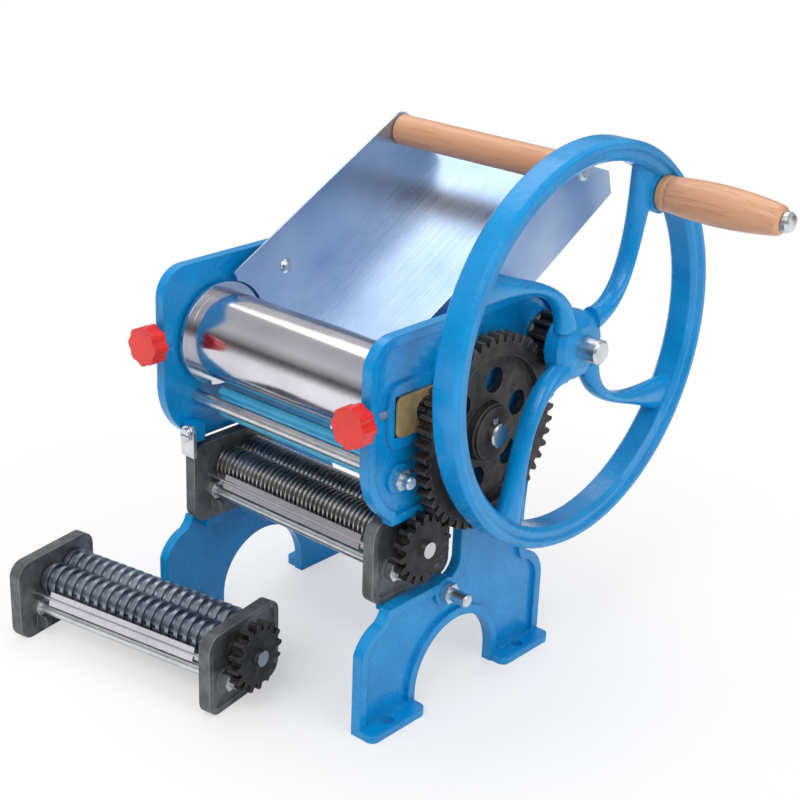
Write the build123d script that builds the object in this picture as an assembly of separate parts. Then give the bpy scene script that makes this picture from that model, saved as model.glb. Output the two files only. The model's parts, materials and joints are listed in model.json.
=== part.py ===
from build123d import *
import math
import os

# Hand-cranked noodle press: two cast side frames carry a pair of smooth rollers, a feed tray,
# a gear train with a hand wheel, and a noodle cutter box. A second cutter box with wider
# grooves stands on the bench beside the machine.
#
# Frame of reference: origin on the bench plane, at the centre of the four foot holes.
# +X points to the hand wheel, -Y is the front where the dough sheet comes out, +Z is up.
# All sizes are in millimetres. Places in a side view are given as (y, z).

# ---- driving dimensions ---------------------------------------------------------------------
# Clearances
RUNNING = 0.05                  # radial clearance of every shaft in its bearing
SLIDING = 0.3                   # between pieces that slide or turn past each other
# Side frames (mirror images of each other; x values are for the right-hand one)
FRAME_INNER_X = 81.0
FRAME_THICK = 7.0
FRAME_RIM = 6.0                 # width of the raised rim round the outer face
FRAME_RECESS = 2.5              # how far the outer face lies inside that rim
FRAME_PAD = 2.5                 # raised pads stand this much wider than what sits on them
TOP_Z = 246.0
FRONT_Y = -81.5                 # front edge of the upper body
FRONT_CORNER_R = 19.0
REAR_TOP_Y = 87.0
REAR_CORNER_R = 29.0
WAIST_Y = 65.5                  # rear edge at its narrowest
LEG_FRONT_Y = -82.5
LEG_BACK_Y = 88.0
NOTCH_FLOOR_Z = 76.7            # floor of the notch that takes the cutter box
NOTCH_TOP_Z = 131.0
NOTCH_BACK_Y = 3.5
NOTCH_CORNER_R = 12.0
NOTCH_FRONT_Y = -60.5
ARCH_FRONT_Y = -34.0            # arch between the two legs
ARCH_BACK_Y = 39.5
ARCH_SPRING_Z = 10.0            # height where the arch starts to curve
# Feet
FOOT_OUT = 10.5                 # how far the feet stand out from the frames
FOOT_THICK = 5.0
FOOT_HOLE_R = 3.65
FOOT_FRONT_END_Y = -34.5
FOOT_REAR_START_Y = 40.5
HOLE_OUT = 3.5                  # from a frame's outer face to the centre of its foot holes
HOLE_SPACING_Y = 124.0
# Rollers
REAR_AXIS = (11.0, 171.4)
ROLLER_R = 27.6
NIP_ANGLE = 28.2                # the front roller sits this much above the rear one, in degrees
SHAFT_R = 7.5
FLANGE_GAP = 2.0                # between the frames and the front roller's end flanges
FLANGE_THICK = 3.5
FLANGE_R = 33.0
ROLLER_OPENING = 3.0            # how far the front roller can be moved forward
ROLLER_GEAR_MODULE = 3.5
ROLLER_GEAR_TEETH = 16
ROLLER_GEAR_OUT = 3.0           # from the left frame to the roller gears
ROLLER_BACKLASH = 1.1           # large, as these gears mesh at every opening of the rollers
ROLLER_GEAR_WIDTH = 14.0
# Gear train
GEAR_MODULE = 2.5
MAIN_TEETH = 46
PINION_TEETH = 12
CUTTER_TEETH = 16
PINION_ANGLE = 36.9             # direction from the main gear to the pinion, in degrees
CUTTER_ANGLE = -130.2           # direction from the main gear to the cutter's gear
BACKLASH = 0.35
ADDENDUM = 0.88                 # tooth height above the pitch circle, in modules
DEDENDUM = 1.2
TRAIN_GAP = 0.5                 # between the frame's bushes and the gears of the train
MAIN_WIDTH = 9.5
MAIN_RECESS = 5.0
MAIN_RIM_R = 47.0
MAIN_HUB_R = 17.5
MAIN_HUB_OUT = 2.5
MAIN_HOLES = 6
MAIN_HOLE_R = 8.0
MAIN_HOLE_CIRCLE_R = 30.5
MAIN_HOLE_ANGLE = 18.0
MAIN_SHAFT_OUT = 4.5            # how far the rear roller's shaft stands out of the hub
KEY_SIZE = 4.0
PINION_WIDTH = 12.5
CUTTER_GEAR_OUT = 1.2           # from the right frame to the cutter box's drive gear
CUTTER_GEAR_WIDTH = 6.8
CUTTER_HUB_R = 10.5
# Hand wheel
WHEEL_R = 124.0
WHEEL_RIM = 13.0                # radial width of the rim
WHEEL_OUT = 6.0                 # from the main gear's face to the back of the rim
WHEEL_DEPTH = 20.0
WHEEL_HUB_R = 21.0
WHEEL_HUB_BACK = 1.5            # how far the hub stands out behind the rim
WHEEL_HUB_IN = 5.5              # how far the hub's face lies behind the rim's front
SPOKES = 4
SPOKE_WIDE = 16.0
SPOKE_FLARE = 27.0              # width where a spoke meets the rim
SPOKE_DEEP = 13.0
SPOKE_IN = 8.5                  # from the back of the rim to the spokes' middle
SPOKE_DRAWN_R = 117.5           # middle of the rim for which the spoke's line is drawn
SPOKE_LINE = ((13.0, 13.0), (35.0, 25.0), (47.5, 51.0), (53.0, 76.0), (58.5, 100.0))
WHEEL_SHAFT_OUT = 7.0           # how far the shaft's end stands out before the rim
WHEEL_SHAFT_LEFT = 3.0          # and outside the left frame
# Handle
HANDLE_INSET = 18.0             # from the rim's outer edge to the handle's axis
HANDLE_SEAT = 4.0               # how far the grip's seat lies behind the rim's front
HANDLE_ANGLE = 51.0
HANDLE_BOSS_R = 13.0
HANDLE_BOLT_R = 4.0
GRIP_LENGTH = 81.5
GRIP_NECK_R = 11.0
GRIP_BELLY_R = 12.6
GRIP_END_R = 9.3
DOME_NUT_R = 6.2
# Bearings
BUSH_R = 10.5
BUSH_FLANGE_R = 13.0
BUSH_FLANGE = 2.0
BLOCK_FRONT_Y = -58.0           # bearing blocks of the front roller
BLOCK_BACK_Y = -24.5
BLOCK_Z = 24.0
BLOCK_PLATE = 1.7
BLOCK_PLATE_OVER = 3.0          # how far the bronze plate covers the window's front gap
BLOCK_PLATE_CORNER_R = 4.0
# Adjusting knobs
KNOB_R = 12.3
KNOB_WAIST_R = 11.2
KNOB_LOBES = 8
KNOB_THICK = 10.5
KNOB_STANDOFF = 4.0
KNOB_RISE = 3.0                 # the screws lie this much above the front roller's axis
KNOB_SCREW_R = 3.0
KNOB_BOSS_R = 5.0
KNOB_TIP = 6.0                  # how far the screw reaches into the block
# Tie rods
ROD_R = 4.0
ROD_NUT_FLATS = 11.5
UPPER_ROD = (-55.5, 159.5)
UPPER_ROD_NUT = 3.5
UPPER_ROD_OUT = 9.5             # how far its ends stand out of the frames
LOWER_ROD = (-9.0, 69.5)
LOWER_ROD_NUT = 5.0
LOWER_ROD_OUT = 17.5
ROD_BOSS_R = 9.0
# Scraper plate under the front roller
SCRAPER_Y = -44.5
SCRAPER_THICK = 2.5
SCRAPER_END_GAP = 11.0          # from the frames to the ends of its ridges
SCRAPER_TOP_Z = 166.0
SCRAPER_HEIGHT = 20.0
SCRAPER_RIDGES = 3
SCRAPER_RIDGE_R = 2.2
SCRAPER_TAB = 8.0
# Feed tray (bent sheet) and its wooden roller
SHEET = 1.0
TRAY_BOSS = 6.7                 # bosses between the frames and the tray's walls
TRAY_SLOPE = 29.5
TRAY_OVER_ROLLER = 0.8          # running gap between the rear roller and the tray's underside
TRAY_LOW_END = -6.0             # ends along the slope, from above the rear roller's axis
TRAY_HIGH_END = 178.0
TRAY_WALL_FRONT = (-30.5, 236.0)
TRAY_WALL_CUT_R = 34.0
TRAY_BASE_CUT_GAP = 1.2
TRAY_WALL_END = (147.5, 299.0)
TRAY_ROLLER_AXIS = (119.5, 302.5)
TRAY_ROLLER_R = 10.0
TRAY_LUG_R = 11.5
TRAY_PIN_R = 3.0
TRAY_PIN_DEPTH = 14.0
TRAY_SCREW_AXIS = (13.5, 230.8)
TRAY_SCREW_R = 2.5
TRAY_SCREW_HEAD_R = 5.0
TRAY_BOSS_R = 7.0
TRAY_PAD_Y = 47.0
TRAY_PAD = 10.0
# Latch in front of the mounted cutter box, on the left-hand frame
LATCH_IN = 5.0                  # from the left end plate's outer face to the latch's screw
LATCH_Z = 139.0
LATCH_WIDE = 11.4
LATCH_TAIL = 15.0
LATCH_THICK = 2.5
LATCH_SCREW_R = 2.0
LATCH_HEAD_R = 4.2
LATCH_LUG_DEEP = 9.5
# Cutter boxes; places in a box are counted from the lower front corner of its end plates
BOX_GAP = 1.0                   # between the frames and the mounted box's end plates
PLATE_THICK = 8.0
PLATE_LENGTH = 68.0
PLATE_HEIGHT = 53.5
PLATE_CORNER_R = 10.0
PLATE_RIM = 4.0
PLATE_RECESS = 1.2
PLATE_BACK_GAP = 2.0            # from the plates' rear edges to the notch's rear wall
CUT_ROLLER_R = 11.5
CUT_GROOVE_DEPTH = 2.5
CUT_SHAFT_R = 5.0
CUT_BUSH_R = 7.0
CUT_GEAR_MODULE = 1.75
CUT_GEAR_TEETH = 12
CUT_GEAR_WIDTH = 6.0
CUT_GEAR_GAP = 0.6
CUT_SIDE_CLEAR = 0.25           # between the flanks of meshing ridges
FINE_RIDGES = 40
COARSE_RIDGES = 20
BOX_ROD = (16.0, 20.5)
BOX_REAR_ROD = (54.0, 10.0)
BOX_ROD_R = 3.75
BOX_NUT_FLATS = 11.0
BOX_NUT = 4.5
BOX_ROD_OUT = 4.0
BAR_CENTRE = (13.0, 31.0)
BAR_WIDE = 9.0
BAR_THICK = 1.5
BAR_END_GAP = 14.0
BAR_TILT = -17.0
BAR_PIN_R = 1.2
EAR_WIDE = 9.0                  # half-round ear on the left plate, behind the rod's nut
EAR_THICK = 3.5
LEDGE_UNDER = 7.0               # ledges on the frames reach this far under the cutter box
LEDGE_THICK = 6.5
LEDGE_FRONT_Y = -55.0
LEDGE_BACK_Y = -18.5
# The spare box stands on the bench, turned a little
SPARE_AT = (-67.0, -144.0)
SPARE_TURN = 9.2


def polar(centre, radius, degrees):
    """A place at a distance and direction from another."""
    angle = math.radians(degrees)
    return (centre[0] + radius * math.cos(angle), centre[1] + radius * math.sin(angle))


def centre_distance(module, teeth_a, teeth_b):
    return module * (teeth_a + teeth_b) / 2


def mesh_phase(direction, phase_a, teeth_a, teeth_b):
    """Phase of gear B that puts it in mesh with gear A, B lying at direction from A."""
    return direction + 180.0 + 180.0 / teeth_b - (phase_a - direction) * teeth_a / teeth_b


# ---- derived places -------------------------------------------------------------------------
FRAME_OUTER_X = FRAME_INNER_X + FRAME_THICK
FOOT_OUT_X = FRAME_OUTER_X + FOOT_OUT
HOLE_X = FRAME_OUTER_X + HOLE_OUT
FLANGE_INNER_X = FRAME_INNER_X - FLANGE_GAP - FLANGE_THICK
TRAY_HALF_X = FRAME_INNER_X - TRAY_BOSS
REAR_ROLLER_HALF_X = TRAY_HALF_X - SLIDING
SCRAPER_HALF_X = FRAME_INNER_X - SCRAPER_END_GAP
ROLLER_GEAR_BACK_X = FRAME_OUTER_X + ROLLER_GEAR_OUT
MAIN_BACK_X = FRAME_OUTER_X + BUSH_FLANGE + TRAIN_GAP
CUTTER_GEAR_BACK_X = FRAME_OUTER_X + CUTTER_GEAR_OUT
ROLLER_CENTRES = centre_distance(ROLLER_GEAR_MODULE, ROLLER_GEAR_TEETH, ROLLER_GEAR_TEETH)
FRONT_AXIS = polar(REAR_AXIS, ROLLER_CENTRES, 180.0 - NIP_ANGLE)
WHEEL_AXIS = polar(REAR_AXIS, centre_distance(GEAR_MODULE, MAIN_TEETH, PINION_TEETH),
                   PINION_ANGLE)
CUTTER_AXIS = polar(REAR_AXIS, centre_distance(GEAR_MODULE, MAIN_TEETH, CUTTER_TEETH),
                    CUTTER_ANGLE)
HANDLE_CIRCLE_R = WHEEL_R - HANDLE_INSET
HANDLE_AXIS = polar(WHEEL_AXIS, HANDLE_CIRCLE_R, HANDLE_ANGLE)
KNOB_X = FRAME_INNER_X + FRAME_THICK / 2
KNOB_Z = FRONT_AXIS[1] + KNOB_RISE
WINDOW_FRONT_Y = BLOCK_FRONT_Y - ROLLER_OPENING - SLIDING
MAIN_FRONT_X = MAIN_BACK_X + MAIN_WIDTH
MAIN_HUB_END_X = MAIN_FRONT_X + MAIN_HUB_OUT
WHEEL_BACK_X = MAIN_FRONT_X + WHEEL_OUT
WHEEL_FRONT_X = WHEEL_BACK_X + WHEEL_DEPTH
HANDLE_SEAT_X = WHEEL_FRONT_X - HANDLE_SEAT
GRIP_START_X = HANDLE_SEAT_X + SLIDING
GRIP_END_X = GRIP_START_X + GRIP_LENGTH
BOX_HALF_X = FRAME_INNER_X - BOX_GAP
PLATE_INNER_X = BOX_HALF_X - PLATE_THICK
BOX_CORNER = (NOTCH_BACK_Y - PLATE_BACK_GAP - PLATE_LENGTH, NOTCH_FLOOR_Z)
CUT_FRONT = (CUTTER_AXIS[0] - BOX_CORNER[0], CUTTER_AXIS[1] - BOX_CORNER[1])
CUT_REAR = polar(CUT_FRONT, centre_distance(CUT_GEAR_MODULE, CUT_GEAR_TEETH, CUT_GEAR_TEETH), 0)
CUT_GEAR_OUT_X = BOX_HALF_X + CUT_GEAR_GAP + CUT_GEAR_WIDTH
LATCH_X = LATCH_IN - BOX_HALF_X
LATCH_Y = BOX_CORNER[0] - SLIDING
MAIN_PHASE = 0.0
PINION_PHASE = mesh_phase(PINION_ANGLE, MAIN_PHASE, MAIN_TEETH, PINION_TEETH)
CUTTER_PHASE = mesh_phase(CUTTER_ANGLE, MAIN_PHASE, MAIN_TEETH, CUTTER_TEETH)
ROLLER_PHASE = mesh_phase(180.0 - NIP_ANGLE, 0.0, ROLLER_GEAR_TEETH, ROLLER_GEAR_TEETH)
CUT_PHASE = mesh_phase(0.0, 0.0, CUT_GEAR_TEETH, CUT_GEAR_TEETH)


# ---- helpers --------------------------------------------------------------------------------
def slab(outline, x_from, x_to):
    """A plate between two x planes, from a closed outline drawn in (y, z)."""
    face = Plane.YZ.offset(x_from) * make_face(outline)
    return extrude(face, amount=x_to - x_from)


def plate_x(points, x_from, x_to):
    return slab(Polyline(*points, close=True), x_from, x_to)


def rounded_slab(y_from, y_to, z_from, z_to, radius, x_from, x_to):
    """A plate between two x planes with four rounded corners."""
    outline = RectangleRounded(y_to - y_from, z_to - z_from, radius)
    face = Plane.YZ.offset(x_from) * Pos((y_from + y_to) / 2, (z_from + z_to) / 2) * outline
    return extrude(face, amount=x_to - x_from)


def rod_x(centre, radius, x_from, x_to):
    """A cylinder along X."""
    face = Plane.YZ.offset(x_from) * Pos(*centre) * Circle(radius)
    return extrude(face, amount=x_to - x_from)


def rod_y(x, z, radius, y_from, y_to):
    """A cylinder along Y."""
    plane = Plane(origin=(x, y_from, z), x_dir=(1, 0, 0), z_dir=(0, 1, 0))
    return extrude(plane * Circle(radius), amount=y_to - y_from)


def nut_x(centre, flats, bore_r, x_from, x_to):
    """A hexagonal nut along X."""
    hexagon = RegularPolygon(flats / 2, 6, major_radius=False)
    face = Plane.YZ.offset(x_from) * Pos(*centre) * (hexagon - Circle(bore_r))
    return extrude(face, amount=x_to - x_from)


def block(x_from, x_to, y_from, y_to, z_from, z_to):
    centre = ((x_from + x_to) / 2, (y_from + y_to) / 2, (z_from + z_to) / 2)
    return Pos(*centre) * Box(x_to - x_from, y_to - y_from, z_to - z_from)


def mirror_x(shape):
    return mirror(shape, about=Plane.YZ)


def both_sides(shape):
    """A piece and its mirror image on the other side, as one group."""
    return Compound(children=[shape, mirror_x(shape)])


def turned(centre, points):
    """A solid turned about an axis along X, from (x, radius) points."""
    profile = make_face(Polyline(*points, close=True))
    return Pos(0, *centre) * revolve(profile, axis=Axis.X)


def involute(angle):
    return math.tan(angle) - angle


def gear_outline(module, teeth, phase, backlash):
    """Outline of a spur gear with 20 degree involute teeth, one of them centred on phase."""
    pressure = math.radians(20.0)
    pitch_r = module * teeth / 2
    base_r = pitch_r * math.cos(pressure)
    tip_r = pitch_r + ADDENDUM * module
    root_r = pitch_r - DEDENDUM * module
    half_at_pitch = (math.pi / 2 - backlash / module / 2) / teeth
    lowest = max(base_r, root_r)
    radii = [lowest + (tip_r - lowest) * step for step in (0.0, 0.3, 0.65, 1.0)]
    if base_r > root_r:
        radii.insert(0, root_r)
    flank = []
    for radius in radii:
        roll = math.acos(base_r / max(radius, base_r))
        flank.append((radius, half_at_pitch + involute(pressure) - involute(roll)))
    points = []
    for tooth in range(teeth):
        middle = math.radians(phase) + 2 * math.pi * tooth / teeth
        sides = [(r, middle - half) for r, half in flank]
        sides += [(r, middle + half) for r, half in reversed(flank)]
        points += [(r * math.cos(angle), r * math.sin(angle)) for r, angle in sides]
    return Polyline(*points, close=True)


def spur_gear(centre, module, teeth, phase, bore_r, x_from, x_to, backlash=BACKLASH):
    face = make_face(gear_outline(module, teeth, phase, backlash)) - Circle(bore_r)
    return extrude(Plane.YZ.offset(x_from) * Pos(*centre) * face, amount=x_to - x_from)


# ---- side frames ----------------------------------------------------------------------------
def frame_outline():
    """The outline of a side frame, from the front foot upwards and round."""
    corner = NOTCH_CORNER_R
    arch_r = (ARCH_BACK_Y - ARCH_FRONT_Y) / 2
    arch_top = ((ARCH_FRONT_Y + ARCH_BACK_Y) / 2, ARCH_SPRING_Z + arch_r)
    return [
        Line((LEG_FRONT_Y, 0), (LEG_FRONT_Y, 53)),
        ThreePointArc((LEG_FRONT_Y, 53), (-77, 62), (-66, 68.5)),
        ThreePointArc((-66, 68.5), (-63, 71.5), (NOTCH_FRONT_Y, NOTCH_FLOOR_Z)),
        Line((NOTCH_FRONT_Y, NOTCH_FLOOR_Z), (NOTCH_BACK_Y - corner, NOTCH_FLOOR_Z)),
        RadiusArc((NOTCH_BACK_Y - corner, NOTCH_FLOOR_Z),
                  (NOTCH_BACK_Y, NOTCH_FLOOR_Z + corner), -corner),
        Line((NOTCH_BACK_Y, NOTCH_FLOOR_Z + corner), (NOTCH_BACK_Y, NOTCH_TOP_Z - corner)),
        RadiusArc((NOTCH_BACK_Y, NOTCH_TOP_Z - corner),
                  (NOTCH_BACK_Y - corner, NOTCH_TOP_Z), -corner),
        Line((NOTCH_BACK_Y - corner, NOTCH_TOP_Z), (NOTCH_FRONT_Y, NOTCH_TOP_Z)),
        Line((NOTCH_FRONT_Y, NOTCH_TOP_Z), (-62, 135)),
        ThreePointArc((-62, 135), (-77.5, 153), (FRONT_Y, 176)),
        Line((FRONT_Y, 176), (FRONT_Y, TOP_Z - FRONT_CORNER_R)),
        RadiusArc((FRONT_Y, TOP_Z - FRONT_CORNER_R), (FRONT_Y + FRONT_CORNER_R, TOP_Z),
                  FRONT_CORNER_R),
        Line((FRONT_Y + FRONT_CORNER_R, TOP_Z), (REAR_TOP_Y - REAR_CORNER_R, TOP_Z)),
        RadiusArc((REAR_TOP_Y - REAR_CORNER_R, TOP_Z), (REAR_TOP_Y, TOP_Z - REAR_CORNER_R),
                  REAR_CORNER_R),
        Line((REAR_TOP_Y, TOP_Z - REAR_CORNER_R), (REAR_TOP_Y - 2, 200)),
        ThreePointArc((REAR_TOP_Y - 2, 200), (71, 145), (WAIST_Y, 100)),
        ThreePointArc((WAIST_Y, 100), (WAIST_Y + 1, 80), (70, 68)),
        ThreePointArc((70, 68), (82.5, 60), (LEG_BACK_Y, 45)),
        Line((LEG_BACK_Y, 45), (LEG_BACK_Y, 0)),
        Line((LEG_BACK_Y, 0), (ARCH_BACK_Y, 0)),
        Line((ARCH_BACK_Y, 0), (ARCH_BACK_Y, ARCH_SPRING_Z)),
        ThreePointArc((ARCH_BACK_Y, ARCH_SPRING_Z), arch_top, (ARCH_FRONT_Y, ARCH_SPRING_Z)),
        Line((ARCH_FRONT_Y, ARCH_SPRING_Z), (ARCH_FRONT_Y, 0)),
        Line((ARCH_FRONT_Y, 0), (LEG_FRONT_Y, 0)),
    ]


def tray_pad():
    """Pad inside the frame on which the tray's underside rests."""
    y_from, y_to = TRAY_PAD_Y - TRAY_PAD / 2, TRAY_PAD_Y + TRAY_PAD / 2
    bottom = tray_under_z(y_from) - TRAY_PAD
    return plate_x([(y_from, tray_under_z(y_from)), (y_to, tray_under_z(y_to)),
                    (y_to, bottom), (y_from, bottom)],
                   TRAY_HALF_X - TRAY_PAD, FRAME_INNER_X)


def frame_pads():
    """Raised seats on the outer face for the bushes, the nuts and the bearing's window."""
    start = FRAME_OUTER_X - FRAME_RECESS
    pads = rod_x(WHEEL_AXIS, BUSH_FLANGE_R + FRAME_PAD, start, FRAME_OUTER_X)
    pads += rod_x(REAR_AXIS, BUSH_FLANGE_R + FRAME_PAD, start, FRAME_OUTER_X)
    for rod in (UPPER_ROD, LOWER_ROD):
        pads += rod_x(rod, ROD_BOSS_R, start, FRAME_OUTER_X)
    reach = BLOCK_Z / 2 + 3 * FRAME_PAD
    return pads + rounded_slab(WINDOW_FRONT_Y - 2 * FRAME_PAD, BLOCK_BACK_Y + 3 * FRAME_PAD,
                               FRONT_AXIS[1] - reach, FRONT_AXIS[1] + reach, 4 * FRAME_PAD,
                               start, FRAME_OUTER_X)


def frame_recess():
    """What is taken off the outer face inside the rim, apart from the raised pads."""
    start = FRAME_OUTER_X - FRAME_RECESS
    inside = offset(make_face(frame_outline()), amount=-FRAME_RIM, kind=Kind.ARC)
    return extrude(Plane.YZ.offset(start) * inside, amount=FRAME_RECESS + 1) - frame_pads()


def frame_casting():
    """The right-hand side frame, without what only one of the two has."""
    casting = slab(frame_outline(), FRAME_INNER_X, FRAME_OUTER_X) - frame_recess()
    for y_from, y_to in ((LEG_FRONT_Y, FOOT_FRONT_END_Y), (FOOT_REAR_START_Y, LEG_BACK_Y)):
        foot = block(FRAME_INNER_X, FOOT_OUT_X, y_from, y_to, 0, FOOT_THICK)
        corners = foot.edges().filter_by(Axis.Z).sort_by(Axis.X)[-2:]
        casting += fillet(corners, FOOT_THICK)
    casting += rod_x(LOWER_ROD, ROD_BOSS_R, FRAME_INNER_X - 1, FRAME_OUTER_X)
    casting += rod_y(KNOB_X, KNOB_Z, KNOB_BOSS_R, FRONT_Y, FRONT_Y + FRAME_RIM)
    casting += block(BOX_HALF_X - LEDGE_UNDER, FRAME_INNER_X, LEDGE_FRONT_Y, LEDGE_BACK_Y,
                     NOTCH_FLOOR_Z - LEDGE_THICK, NOTCH_FLOOR_Z)
    casting += rod_x(TRAY_SCREW_AXIS, TRAY_BOSS_R, TRAY_HALF_X, FRAME_INNER_X)
    casting += tray_pad()
    return casting - frame_cuts()


def frame_cuts():
    """Everything that is cut out of a side frame."""
    through = (FRAME_INNER_X - 5, FRAME_OUTER_X + 5)
    block_half_z = BLOCK_Z / 2 + SLIDING
    cuts = [
        rod_x(WHEEL_AXIS, BUSH_R, *through),
        rod_x(REAR_AXIS, BUSH_R, *through),
        rod_x(UPPER_ROD, ROD_R, *through),
        rod_x(LOWER_ROD, ROD_R, *through),
        rod_x(TRAY_SCREW_AXIS, TRAY_SCREW_R, TRAY_HALF_X - 1, FRAME_INNER_X + 4),
        block(*through, WINDOW_FRONT_Y, BLOCK_BACK_Y + SLIDING,
              FRONT_AXIS[1] - block_half_z, FRONT_AXIS[1] + block_half_z),
        rod_y(KNOB_X, KNOB_Z, KNOB_SCREW_R + RUNNING, FRONT_Y - 1, WINDOW_FRONT_Y + 1),
    ]
    for side in (-1, 1):
        place = Pos(HOLE_X, side * HOLE_SPACING_Y / 2, 0)
        cuts.append(place * Cylinder(FOOT_HOLE_R, FOOT_THICK * 3))
    return cuts


def left_side_frame():
    """The left-hand frame also has the lug that holds the latch's screw."""
    lug_y = LATCH_Y + SLIDING
    lug = block(-FRAME_INNER_X, LATCH_X + LATCH_SCREW_R + 1, lug_y, lug_y + LATCH_LUG_DEEP,
                NOTCH_TOP_Z + 2, LATCH_Z + LATCH_WIDE / 2)
    lug -= rod_y(LATCH_X, LATCH_Z, LATCH_SCREW_R, lug_y - 1, lug_y + LATCH_LUG_DEEP - 2)
    return mirror_x(frame_casting()) + lug


def frame_bushes():
    """Flanged bronze bushes of the hand wheel's shaft and of the rear roller."""
    bushes = []
    bore_r = SHAFT_R + RUNNING
    for centre in (WHEEL_AXIS, REAR_AXIS):
        bush = turned(centre, [(FRAME_INNER_X, bore_r), (FRAME_INNER_X, BUSH_R),
                               (FRAME_OUTER_X, BUSH_R), (FRAME_OUTER_X, BUSH_FLANGE_R),
                               (FRAME_OUTER_X + BUSH_FLANGE, BUSH_FLANGE_R),
                               (FRAME_OUTER_X + BUSH_FLANGE, bore_r)])
        bushes += [bush, mirror_x(bush)]
    return Compound(children=bushes)


# ---- tie rods and scraper plate -------------------------------------------------------------
def tie_rod(centre, out):
    end = FRAME_OUTER_X + out
    return turned(centre, [(-end, 0), (-end, ROD_R - 0.8), (0.8 - end, ROD_R),
                           (end - 0.8, ROD_R), (end, ROD_R - 0.8), (end, 0)])


def tie_rod_nuts():
    nuts = []
    for centre, thick in ((UPPER_ROD, UPPER_ROD_NUT), (LOWER_ROD, LOWER_ROD_NUT)):
        nut = nut_x(centre, ROD_NUT_FLATS, ROD_R, FRAME_OUTER_X, FRAME_OUTER_X + thick)
        nuts += [nut, mirror_x(nut)]
    return Compound(children=nuts)


def scraper_plate():
    """Ribbed plate under the front roller, held by a tab at each end."""
    y_front, y_back = SCRAPER_Y - SCRAPER_THICK / 2, SCRAPER_Y + SCRAPER_THICK / 2
    bottom = SCRAPER_TOP_Z - SCRAPER_HEIGHT
    plate = block(-SCRAPER_HALF_X, SCRAPER_HALF_X, y_front, y_back, bottom, SCRAPER_TOP_Z)
    plate += block(-FRAME_INNER_X, FRAME_INNER_X, y_front, y_back, bottom + 2,
                   bottom + 2 + SCRAPER_TAB)
    pitch = SCRAPER_HEIGHT / SCRAPER_RIDGES
    for ridge in range(SCRAPER_RIDGES):
        height = bottom + (ridge + 0.5) * pitch
        plate += rod_x((y_front, height), SCRAPER_RIDGE_R, -SCRAPER_HALF_X, SCRAPER_HALF_X)
    return plate


# ---- feed tray ------------------------------------------------------------------------------
def tray_point(along, up):
    """A place along the tray's slope and square to it, from above the rear roller's axis."""
    slope = math.radians(TRAY_SLOPE)
    rise = ROLLER_R + TRAY_OVER_ROLLER + up
    return (REAR_AXIS[0] + along * math.cos(slope) - rise * math.sin(slope),
            REAR_AXIS[1] + along * math.sin(slope) + rise * math.cos(slope))


def tray_under_z(y):
    """Height of the tray's underside at a place y."""
    start = tray_point(0, 0)
    return start[1] + (y - start[0]) * math.tan(math.radians(TRAY_SLOPE))


def feed_tray():
    """Bent sheet: a sloping base with a side wall each side, cut round the front roller."""
    low_end, high_end = tray_point(TRAY_LOW_END, 0), tray_point(TRAY_HIGH_END, 0)
    base = plate_x([low_end, high_end, tray_point(TRAY_HIGH_END, SHEET),
                    tray_point(TRAY_LOW_END, SHEET)], -TRAY_HALF_X, TRAY_HALF_X)
    base -= rod_x(FRONT_AXIS, ROLLER_R + TRAY_BASE_CUT_GAP, -TRAY_HALF_X - 1, TRAY_HALF_X + 1)
    inner = TRAY_HALF_X - SHEET
    wall = plate_x([low_end, high_end, TRAY_WALL_END,
                    polar(TRAY_ROLLER_AXIS, TRAY_LUG_R, TRAY_SLOPE - 20), TRAY_ROLLER_AXIS,
                    polar(TRAY_ROLLER_AXIS, TRAY_LUG_R, 90 + TRAY_SLOPE - 7), TRAY_WALL_FRONT],
                   inner, TRAY_HALF_X)
    wall += rod_x(TRAY_ROLLER_AXIS, TRAY_LUG_R, inner, TRAY_HALF_X)
    wall -= [rod_x(FRONT_AXIS, TRAY_WALL_CUT_R, inner - 1, TRAY_HALF_X + 1),
             rod_x(TRAY_ROLLER_AXIS, TRAY_PIN_R, inner - 1, TRAY_HALF_X + 1),
             rod_x(TRAY_SCREW_AXIS, TRAY_SCREW_R, inner - 1, TRAY_HALF_X + 1)]
    return base + wall + mirror_x(wall)


def tray_screws():
    """The two screws that hold the tray to the bosses of the side frames."""
    head_x = TRAY_HALF_X - SHEET
    end_x = FRAME_INNER_X + 4
    return both_sides(turned(TRAY_SCREW_AXIS, [
        (head_x - 2.4, 0), (head_x - 2.2, 2.6), (head_x - 1.2, TRAY_SCREW_HEAD_R - 0.6),
        (head_x, TRAY_SCREW_HEAD_R), (head_x, TRAY_SCREW_R), (end_x, TRAY_SCREW_R), (end_x, 0)]))


def tray_roller():
    """Turned wooden roller across the high end of the tray, bored at both ends."""
    end = TRAY_HALF_X - SHEET - SLIDING
    depth = end - TRAY_PIN_DEPTH - SLIDING
    bore_r = TRAY_PIN_R + RUNNING
    return turned(TRAY_ROLLER_AXIS, [
        (-end, bore_r), (-end, TRAY_ROLLER_R - 1), (1 - end, TRAY_ROLLER_R),
        (end - 1, TRAY_ROLLER_R), (end, TRAY_ROLLER_R - 1), (end, bore_r), (depth, bore_r),
        (depth, 0), (-depth, 0), (-depth, bore_r)])


def tray_roller_pins():
    start = TRAY_HALF_X - SHEET - SLIDING - TRAY_PIN_DEPTH
    return both_sides(turned(TRAY_ROLLER_AXIS, [
        (start, 0), (start, TRAY_PIN_R), (TRAY_HALF_X, TRAY_PIN_R), (TRAY_HALF_X, 5.0),
        (TRAY_HALF_X + 1.2, 5.0), (TRAY_HALF_X + 2.2, 3.0), (TRAY_HALF_X + 2.2, 0)]))


# ---- rollers and their bearings -------------------------------------------------------------
ROLLER_SHAFT_LEFT_X = -(ROLLER_GEAR_BACK_X + ROLLER_GEAR_WIDTH + 1.5)


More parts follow.
